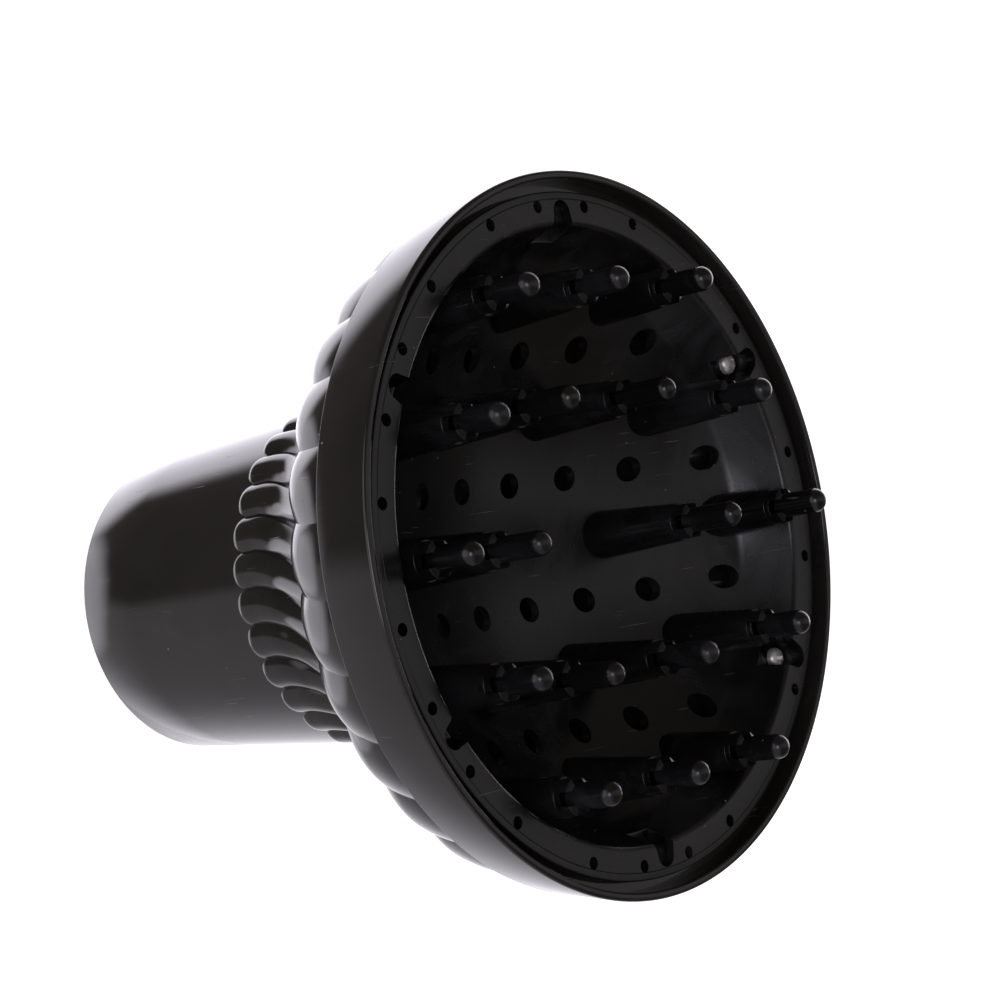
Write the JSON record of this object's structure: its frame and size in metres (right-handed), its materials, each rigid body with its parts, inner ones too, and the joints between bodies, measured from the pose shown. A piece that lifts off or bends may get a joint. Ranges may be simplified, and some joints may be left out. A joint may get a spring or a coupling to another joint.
{
  "type": "hair dryer diffuser",
  "caption": "Bowl diffuser for a hair dryer: a barrel with a rubber nozzle socket opens into a fluted bell closed by a vented, dished plate with upright hollow fingers.",
  "frame": {"origin": "centre of the barrel's rear opening, on the plane of its rear end", "axes": "+Z along the axis of symmetry, out of the dish and along the fingers; +X towards one screw, and the rows of vents in the floor run along Y"},
  "size_m": [0.1498, 0.1498, 0.141],
  "materials": {
    "shell": "polished black ABS with fine dust and hairline scratches",
    "plate": "satin black heat-resistant plastic",
    "sleeve": "matte black rubber",
    "screw": "bright zinc"
  },
  "bodies": {
    "root": {"finger_plate": "plate", "rim_ring": "shell", "bell_shell": "shell", "nozzle_sleeve": "sleeve", "screw_1": "screw", "screw_2": "screw", "screw_3": "screw", "screw_4": "screw", "screw_5": "screw", "screw_6": "screw"}
  },
  "joints": []
}
